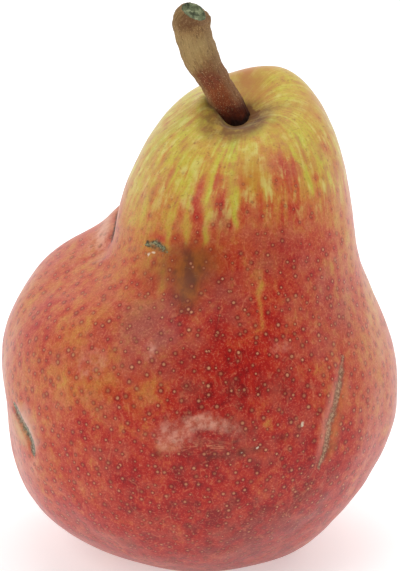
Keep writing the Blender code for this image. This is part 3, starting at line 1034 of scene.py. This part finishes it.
def skin_redness(n, where, grain, from_spot):
    """The painted blush, with streaks down the meridians, mottling of three sizes, thin fibres, and more red
    round each spot."""
    broad = n.noise(n.stretch(grain, (0.34, 0.34, 0.04)), 1, 2, 0.55)
    narrow = n.noise(n.stretch(grain, (1.05, 1.05, 0.09)), 1, 2, 0.6)
    streaks = n.sum((broad, 2.2), (narrow, 2), -2.1)
    clouds = n.noise(where, 170, 2, 0.5)
    smaller = n.noise(n.stretch(where, (1, 1, 0.8)), 400, 3, 0.6)
    flecks = n.noise(where, 1500, 2, 0.6)
    fibres = n.noise(n.stretch(grain, (2.6, 2.6, 0.9)), 1, 2, 0.6, 1.2)
    mottle = n.sum((clouds, 0.5), (smaller, 0.62), (flecks, 0.24), (fibres, 0.32), -0.84)
    round_spot = n.step(from_spot, 1.5, 0.3, -0.02, 0.07)
    return n.sum(n.value("blush"), (streaks, n.value("streaky")), (mottle, n.value("mottled")), round_spot)


def skin_grain(n, where):
    """Fine dark and light flecks, and thin light fibres that wander: the level lines of a slow noise, broken
    up by another."""
    tiny = n.noise(where, 2600, 2, 0.7)
    clear = n.value("grainy")
    n.coat((104, 20, 14), n.step(tiny, 0.48, 0.28, 0, 0.36), clear)
    n.coat((226, 148, 114), n.step(tiny, 0.52, 0.72, 0, 0.32), clear)
    for scale, shift in ((210, 0), (330, 7)):
        moved = n.vector("ADD", n.stretch(where, (1, 1, 0.6)), (shift, shift, shift))
        level = n.math("ABSOLUTE", n.sum(n.noise(moved, scale, 1, 0.5, 0.8), -0.5))
        whole = n.step(n.noise(moved, 2.6 * scale, 1), 0.46, 0.62)
        n.coat((222, 142, 98), n.step(level, 0.022, 0, 0, 0.26), whole)


def crown_streaks(n, where, grain):
    """Thin pale and tan streaks that run out from the stem, and small brown specks, on the crown alone."""
    crown = n.step(n.value("grainy"), 1, 0.6)
    long = n.noise(n.stretch(grain, (0.75, 0.75, 0.1)), 1, 2, 0.6, 0.4)
    short = n.noise(n.stretch(where, (1, 1, 0.6)), 520, 3, 0.6)
    streaks = n.sum((long, 0.46), (short, 0.54))
    n.coat((182, 104, 66), n.step(streaks, 0.5, 0.34, 0, 0.58), crown)
    n.coat((214, 206, 116), n.step(streaks, 0.49, 0.65, 0, 0.66), crown)
    n.coat((132, 88, 44), n.step(n.noise(where, 1500, 2, 0.6), 0.6, 0.74, 0, 0.5), crown)


def skin_spots(n, where, redness, from_spot):
    """Each spot is a pale corky core in a dark ring. Both fade where the skin is yellow."""
    reach = n.sum(n.math("DIVIDE", from_spot, n.value("spot_size")), (n.noise(where, 2600, 1), 0.6))
    tint = n.value("spot_tint")
    seen = n.step(n.value("spotless"), 0, 1, 1, 0.12)
    n.coat((112, 22, 14), n.step(reach, 3.2, 1.5), n.step(redness, 0.3, 0.75, 0.16, 0.64), seen)
    core = n.step(reach, 1.7, 0.8)
    light = n.blend(tint, (188, 124, 80), (218, 152, 110))
    tone = n.blend(n.step(redness, 0.45, 0.78), (172, 126, 74), light)
    n.coat(tone, core, n.step(redness, 0.25, 0.6, 0.45, 0.85), n.step(tint, 0, 1, 0.55, 1), seen)
    return core


def beside_line(n, name):
    """The distance from a line in the skin, and a value that is 0 at the line's ends and 1 in its middle."""
    distance = n.add("SeparateXYZ", {0: n.vectors(name)})
    place = distance.node.outputs[1]
    return distance, n.sum((place, 4), (place, place, -4))


def skin_bands(n, where):
    """Soft, blotchy bands beside the crease and the scars, by distance from the line and place on it. The
    band on the crease's lip is a painted highlight.
    """
    blotchy = n.noise(where, 500, 3, 0.65)
    strength = n.step(blotchy, 0.3, 0.62, 0.55, 1.2)
    for name, offset, reach, share, tone in SKIN_BANDS:
        distance, inner = beside_line(n, name)
        off = n.sum(n.math("ABSOLUTE", n.sum(distance, -offset)), (blotchy, 0.6 * reach))
        width = n.times(n.step(inner, 0, 1, 0.5, 1.5), reach)
        band = n.step(n.math("DIVIDE", off, width), 1.1, 0.1, 0, share)
        n.coat(tone, band, n.step(inner, 0, 0.9), strength)


def skin_lines(n, where):
    """The crease and the scars: each is dark within a ragged half width, which swells and narrows and ends in
    a point, and has two tones, darker at its edges: rough tissue in the scars, and in the crease painted
    shade of its slit."""
    rough = n.noise(where, 2300, 3, 0.7)
    ragged = n.sum(n.noise(where, 1100, 3, 0.65), -0.5)
    swell = n.sum((n.noise(where, 360, 2, 0.6), 2.2), -0.1)
    whole = n.step(n.noise(where, 700, 2, 0.6), 0.3, 0.52, 0.55, 0.95)
    for name, half_width, raggedness, dark, light in SKIN_LINES:
        distance, inner = beside_line(n, name)
        taper = n.math("POWER", n.math("MAXIMUM", inner, 0), 0.3)
        off = n.sum(n.math("ABSOLUTE", distance), (ragged, raggedness))
        share = n.math("DIVIDE", off, n.math("MAXIMUM", n.times(taper, swell, half_width), 0.01))
        tone = n.blend(n.sum((rough, 4.6), (share, -0.5), -1.8), dark, light)
        n.coat(tone, n.step(share, 1.5, 0.4), whole)


def skin_material():
    """The skin, painted in coats from the blush outwards: bloom, grain, the marks of the crown and the neck
    with painted shade beside the stem, pale bruises with painted highlights and other painted highlights and
    reflections, and wrinkles, spots, scars and the crease with painted shade in its slit and a painted
    highlight on its lip, and last the white flecks."""
    constants = {"IOR": 1.42, "Specular_IOR_Level": 0.3, "Sheen_Weight": 0.26, "Sheen_Roughness": 0.45}
    n = Nodes(bpy.data.materials.new("pear_skin"), **constants)
    where = n.where()
    grain = n.vectors("grain")
    from_spot = n.vector("LENGTH", n.vectors("spot"), output="Value")
    redness = skin_redness(n, where, grain, from_spot)
    n.painted = n.ramp(redness, SKIN_TONES)
    # A dull bloom in clouds
    clouds = n.noise(where, 210, 3, 0.6)
    n.coat((188, 103, 78), n.step(clouds, 0.42, 0.72, 0, 0.34))
    n.coat((150, 76, 66), n.value("dull"), n.step(clouds, 0.3, 0.62, 0.55, 1.1))
    skin_grain(n, where)
    crown_streaks(n, where, grain)
    # Tan, ochre and russet round the stem
    patchy = n.noise(where, 380, 4, 0.65)
    russet = n.times(n.value("russet"), n.step(patchy, 0.32, 0.6, 0.45, 1))
    n.coat((192, 128, 64), n.value("tan"), n.step(patchy, 0.34, 0.6, 0.5, 0.95))
    n.coat((186, 124, 14), n.value("ochre"), n.step(patchy, 0.3, 0.56, 0.45, 0.8))
    n.coat((116, 72, 22), russet, 0.95)
    # The brown smudge on the neck
    stained = n.noise(n.stretch(where, (1, 1, 0.6)), 420, 3, 0.65)
    brown = n.blend(n.step(stained, 0.35, 0.65), (112, 50, 4), (148, 78, 3))
    n.coat(brown, n.value("smudge"), n.step(stained, 0.25, 0.7, 1, 0.8))
    # Dark blots, with painted shade right of the stem's foot
    n.coat((70, 26, 12), n.value("blots"))
    # Pale patches with ragged edges, pale skin in part and painted highlights and reflections in part, and
    # the fine wrinkles
    ragged = n.sum(n.noise(where, 640, 4, 0.7), -0.5)
    pale_and_highlight_tone = n.blend(n.step(ragged, -0.14, 0.12), (190, 100, 76), (228, 168, 142))
    n.coat(pale_and_highlight_tone, n.step(n.sum(n.value("pale"), (ragged, 0.55)), 0.06, 1.05, 0, 0.68))
    level_lines = n.noise(n.stretch(where, (420, 260, 2200)), 1, 2, 0.6, 1)
    wrinkled = n.value("wrinkled")
    n.coat((224, 150, 108), wrinkled, n.step(level_lines, 0.52, 0.66, 0, 0.6))
    n.coat((116, 40, 26), wrinkled, n.step(level_lines, 0.46, 0.34, 0, 0.55))
    core = skin_spots(n, where, redness, from_spot)
    skin_bands(n, where)
    skin_lines(n, where)
    n.coat((226, 206, 178), n.step(n.sum(n.value("white"), ragged), 0.4, 0.75, 0, 0.85))
    roughness = n.sum((core, 0.2), (russet, 0.25), (n.noise(where, 700, 2), 0.12), 0.34)
    return n.finish(roughness, n.sum((core, 0.8), (n.noise(where, 900, 3), 0.5)), 0.00004)


def stem_course():
    """Middles, half widths and directions evenly spaced along the stem."""
    table = np.array(STEM_SECTIONS)
    steps = np.linalg.norm(np.diff(table[:, :3], axis=0), axis=1)
    knots = running(steps)
    along = np.linspace(0, knots[-1], STEM_ALONG)
    sections = spline(knots, table, along)
    course = np.gradient(sections[:, :3], axis=0)
    course /= np.linalg.norm(course, axis=1, keepdims=True)
    return sections[:, :3], sections[:, 3], course, along


def make_stem():
    """The stem: lobed rings square to its course, with lengthwise grain and bark lumps. The last rings turn
    to the tilt of the cut, and the cut end is a rough dish."""
    middles, half_widths, course, along = stem_course()
    across = np.cross((0, 1, 0), course)
    across /= np.linalg.norm(across, axis=1, keepdims=True)
    back = np.cross(course, across)
    angle = full_turn(STEM_AROUND)
    lobes = 1.0 + sum(share * np.cos(count * angle + start) for share, count, start in STEM_LOBES)
    way = along[:, None]
    grain = sum(
        depth * np.cos(count * angle + slow * np.sin(STEM_GRAIN_WANDER * way + count) + count)
        for depth, count, slow in STEM_GRAIN
    )
    direction = np.cos(angle)[:, None] * across[:, None] + np.sin(angle)[:, None] * back[:, None]
    plain = middles[:, None] + (half_widths[:, None] * lobes)[..., None] * direction
    reach = half_widths[:, None] * lobes + grain + lumps(plain, STEM_LUMPS)
    side = reach[..., None] * direction
    near_cut = ease(1.0 - (along[-1] - along) / STEM_CUT_LENGTH)[:, None]
    rings = middles[:, None] + side
    rings[..., 2] += near_cut * (STEM_CUT_TILT[0] * side[..., 0] + STEM_CUT_TILT[1] * side[..., 1])
    shares = np.linspace(1, 0, STEM_CUT_RINGS + 2)[1:-1, None, None]
    dish = middles[-1] + shares * (rings[-1] - middles[-1])
    inwards = 1.0 - shares[..., 0]
    sunk = STEM_CUT_DISH * ease(inwards / STEM_CUT_DISH_BY)
    raised = lumps(dish, STEM_CUT_FIBRES) * ease(inwards / STEM_CUT_FIBRES_BY)
    dish = dish - (sunk - raised)[..., None] * course[-1]
    tip = middles[-1] - STEM_CUT_DISH * course[-1]
    rings = fit(np.concatenate([rings, dish, [np.tile(tip, (STEM_AROUND, 1))]]), "stem")
    stem = grid_mesh("pear_stem", rings[:-1], rings[0].mean(axis=0), rings[-1, 0])
    length = np.concatenate([along, np.full(STEM_CUT_RINGS, along[-1])])
    note_vectors(stem, "grain", wind(STEM_GRAIN_RADIUS, np.cos(angle), np.sin(angle), length))
    # How much each ring belongs to the cut end and to its rim, and how far up the stem it lies
    cut = np.repeat((0, 1), (STEM_ALONG, STEM_CUT_RINGS))
    rim = np.concatenate([0 * along, shares.ravel() ** STEM_CUT_RIM_POWER])
    up_stem = length / along[-1]
    for name, values, tips in (("cut", cut, (0, 1)), ("rim", rim, (0, 0)), ("up_stem", up_stem, (0, 1))):
        note_points(stem, name, np.tile(values[:, None], STEM_AROUND), tips)
    stem.data.materials.append(stem_material())
    return stem


def stem_material():
    """The stem: toned along its length, near-black at its foot with painted shade, greyer on the right and
    olive on the left, with dark fibres and pale specks, and a torn grey-green cut end, darker towards its rim
    with painted shade."""
    n = Nodes(bpy.data.materials.new("stem_bark"), IOR=1.45, Specular_IOR_Level=0.3)
    where = n.where()
    grain = n.vectors("grain")
    up = n.value("up_stem")
    sideways = n.add("SeparateXYZ", {0: grain})
    fibre = n.noise(n.stretch(grain, (3.4, 3.4, 0.8)), 1, 4, 0.7)
    speck = n.noise(n.stretch(grain, (6, 6, 3)), 1, 2, 0.6)
    n.painted = n.ramp(n.sum(up, (n.noise(where, 420, 3, 0.65), 0.26), -0.13), STEM_TONES)
    above_root = n.step(up, 0.24, 0.34)
    n.coat((142, 110, 76), n.step(sideways, 0.9, 2.6, 0, 0.62), n.step(up, 0.26, 0.36))
    n.coat((146, 118, 72), n.step(sideways, -1.6, -3, 0, 0.6), above_root)
    n.coat((66, 36, 20), n.step(fibre, 0.5, 0.28, 0, 0.6))
    n.coat((208, 172, 124), n.step(speck, 0.56, 0.7, 0, 0.6), above_root)
    # The cut end is darker towards its rim: painted shade
    torn_and_rim_shade = n.sum(n.noise(where, 620, 4, 0.7, 0.6), (n.value("rim"), -0.22))
    n.coat(n.ramp(torn_and_rim_shade, STEM_CUT_TONES), n.step(n.value("cut"), 0.15, 0.6))
    return n.finish(n.step(fibre, 0.2, 0.8, 0.55, 0.8), n.sum(fibre, (speck, 0.5)), 0.00018)


def make_calyx():
    """The calyx: from its root down the outside, round the ends of the sepals and up the inside to the
    throat. A sepal bends outward evenly, a cosine round the tube sets how long it is, and the dried wall is
    wrinkled."""
    bearing = full_turn(CALYX_AROUND)
    lobe = (0.5 + 0.5 * np.cos(SEPALS * bearing)) ** SEPAL_POINT
    length = SEPAL_NOTCH_LENGTH + (SEPAL_LENGTH - SEPAL_NOTCH_LENGTH) * lobe
    flare = np.linspace(0, SEPAL_FLARE, CALYX_ALONG)[:, None]
    outside = CALYX_HALF_WIDTH + length * (1.0 - np.cos(flare)) / SEPAL_FLARE
    outside_height = CALYX_THROAT - length * np.sin(flare) / SEPAL_FLARE
    thickness = CALYX_WALL * (1.0 - SEPAL_THINNING * flare / SEPAL_FLARE)
    inside = outside - thickness * np.cos(flare)
    inside_height = outside_height - thickness * np.sin(flare)
    radius = np.vstack([np.full(CALYX_AROUND, CALYX_HALF_WIDTH), outside, inside[::-1]])
    height = np.vstack([np.full(CALYX_AROUND, CALYX_ROOT), outside_height, inside_height[::-1]])
    rings = np.stack([
        CALYX_MIDDLE[0] + radius * np.sin(bearing),
        CALYX_MIDDLE[1] - radius * np.cos(bearing),
        height,
    ], axis=-1)
    wrinkles = lumps(rings, CALYX_WRINKLES) * ease((CALYX_ROOT - height) / CALYX_WRINKLES_BY)
    rings = rings + wrinkles[..., None] * np.array(CALYX_WRINKLES_ALONG)
    tips = np.array([(*CALYX_MIDDLE, CALYX_ROOT), (*CALYX_MIDDLE, CALYX_THROAT)])
    tips = np.repeat(tips[:, None], CALYX_AROUND, axis=1)
    fitted = fit(np.concatenate([rings, tips]), "calyx")
    calyx = grid_mesh("pear_calyx", fitted[:-2], fitted[-2, 0], fitted[-1, 0])
    calyx.data.materials.append(calyx_material())
    return calyx


def calyx_material():
    """The calyx: dried and papery, dark brown in blotches."""
    n = Nodes(bpy.data.materials.new("calyx_dried"), IOR=1.45)
    blotch = n.noise(n.where(), 900, 4, 0.65)
    n.painted = n.ramp(blotch, CALYX_TONES)
    return n.finish(n.step(blotch, 0.2, 0.8, 0.7, 0.9), blotch, 0.0002)


def make_floor():
    """A pale level floor: a square grid a few metres wide, its grey varied by a soft noise."""
    side = np.linspace(-FLOOR_HALF_SIDE, FLOOR_HALF_SIDE, 13)
    across, deep = np.meshgrid(side, side)
    points = np.stack([across, deep, 0 * across], axis=-1).reshape(-1, 3)
    numbers = np.arange(len(points)).reshape(across.shape)
    faces = np.stack([numbers[:-1, :-1], numbers[:-1, 1:], numbers[1:, 1:], numbers[1:, :-1]], axis=-1)
    mesh = bpy.data.meshes.new("floor")
    mesh.from_pydata(points, [], faces.reshape(-1, 4).tolist())
    constants = {"Roughness": 0.9, "Emission_Color": (1, 1, 1, 1), "Emission_Strength": FLOOR_GLOW}
    n = Nodes(bpy.data.materials.new("floor_pale"), **constants)
    darkest, palest = FLOOR_GREYS
    n.plug(n.shader, {"Base Color": n.sum((n.noise(n.where(), 90, 3), palest - darkest), darkest)})
    mesh.materials.append(n.owner)
    floor = place_object("floor", mesh)


def make_camera():
    """The camera: it looks along the depth and down by the elevation, and has the foot at its pixel."""
    sine, cosine = np.sin(CAMERA_ELEVATION), np.cos(CAMERA_ELEVATION)
    right, down = (np.array(FOOT_PIXEL) - PICTURE_MIDDLE) * MM_PER_PIXEL
    camera = place_object("camera", bpy.data.cameras.new("camera"))
    camera.data.sensor_fit = "HORIZONTAL"
    camera.data.sensor_width = SENSOR_WIDTH
    camera.data.lens = SENSOR_WIDTH * CAMERA_AWAY / (PICTURE_WIDTH * MM_PER_PIXEL)
    camera.data.clip_start = 0.01
    camera.data.clip_end = 20.0
    back, up = down * sine - CAMERA_AWAY * cosine, down * cosine + CAMERA_AWAY * sine
    camera.location = (-right * MM, back * MM, up * MM)
    camera.rotation_euler = (np.pi / 2 - CAMERA_ELEVATION, 0, 0)
    bpy.context.scene.camera = camera


def softbox(name, place, side, radiance):
    """A square lamp at the place, facing the aim. Its power makes its face shine with the given radiance."""
    lamp = bpy.data.lights.new(name, "AREA")
    lamp.shape = "SQUARE"
    lamp.size = side
    lamp.energy = np.pi * side * side * radiance
    made = place_object(name, lamp)
    made.location = place
    direction = Vector(LAMP_AIM) - Vector(place)
    made.rotation_euler = direction.to_track_quat("-Z", "Y").to_euler()


def make_light():
    """A white surround that is darker on the camera's side, and soft lamps above."""
    world = bpy.data.worlds.new("surround")
    bpy.context.scene.world = world
    n = Nodes(world, "Background", Color=(1, 1, 1, 1))
    to_camera = (0, -np.cos(CAMERA_ELEVATION), np.sin(CAMERA_ELEVATION))
    towards = n.vector("DOT_PRODUCT", n.where("Generated"), to_camera, output="Value")
    n.plug(n.shader, {"Strength": n.step(towards, *SURROUND)})
    for lamp in LAMPS:
        softbox(*lamp)
    bpy.context.scene.view_settings.view_transform = "Standard"


def main():
    make_camera()
    make_light()
    make_floor()
    for piece, node, slot in (
        (make_skin(), "body", "skin"),
        (make_stem(), "stem", "stem"),
        (make_calyx(), "calyx", "calyx"),
    ):
        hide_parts(node)
        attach(piece, "root")


main()
